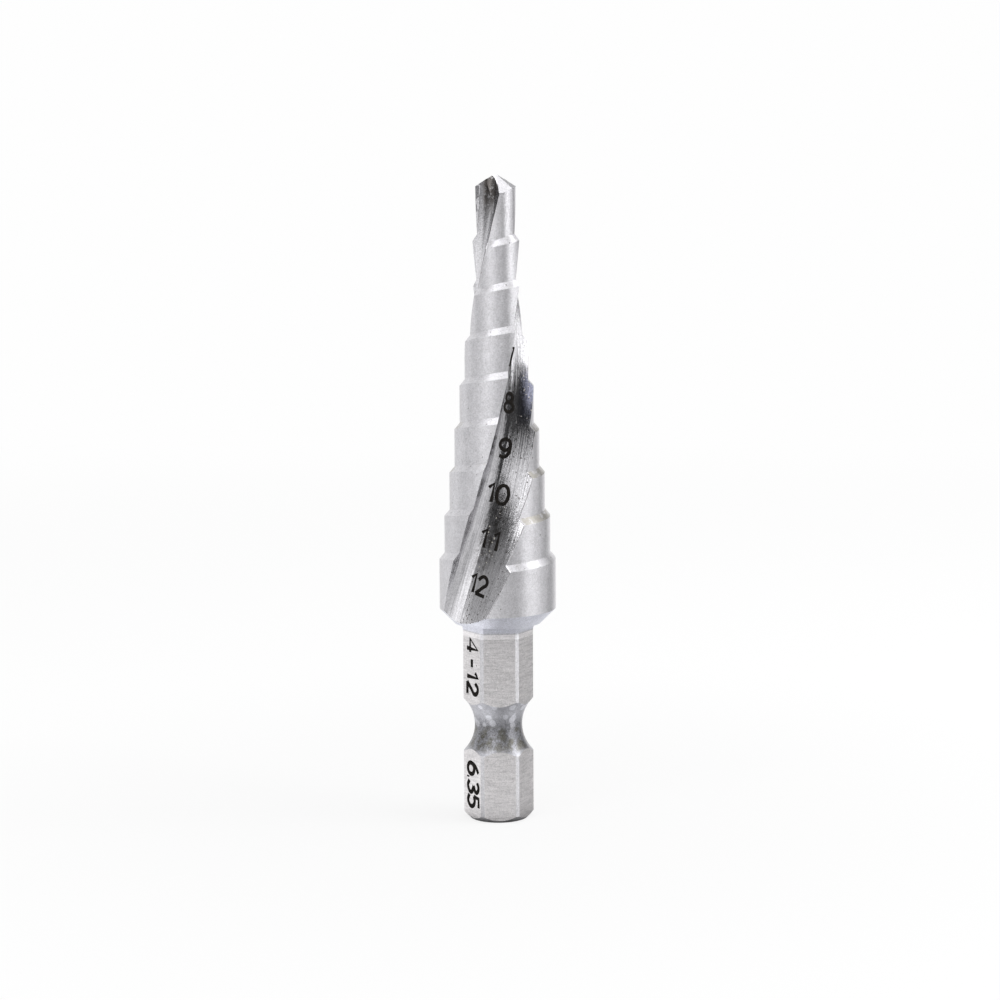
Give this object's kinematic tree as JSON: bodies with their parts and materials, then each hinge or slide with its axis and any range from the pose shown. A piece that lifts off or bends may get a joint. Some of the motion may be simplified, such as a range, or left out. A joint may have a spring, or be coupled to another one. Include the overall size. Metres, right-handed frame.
{
  "type": "step drill",
  "caption": "Step drill with round cutting steps that grow from a split point, two spiral flutes, and a hex quick-change shank with a ball groove",
  "frame": {"origin": "middle of the shank's end face, where the drill stands on its end", "axes": "+Z along the drill's axis from the shank to the tip; two of the shank's flats face +Y and -Y"},
  "size_m": [0.0118, 0.0114, 0.065],
  "materials": {
    "drill_steel": "ground and bright"
  },
  "bodies": {
    "root": {"step_drill": "drill_steel"}
  },
  "joints": []
}
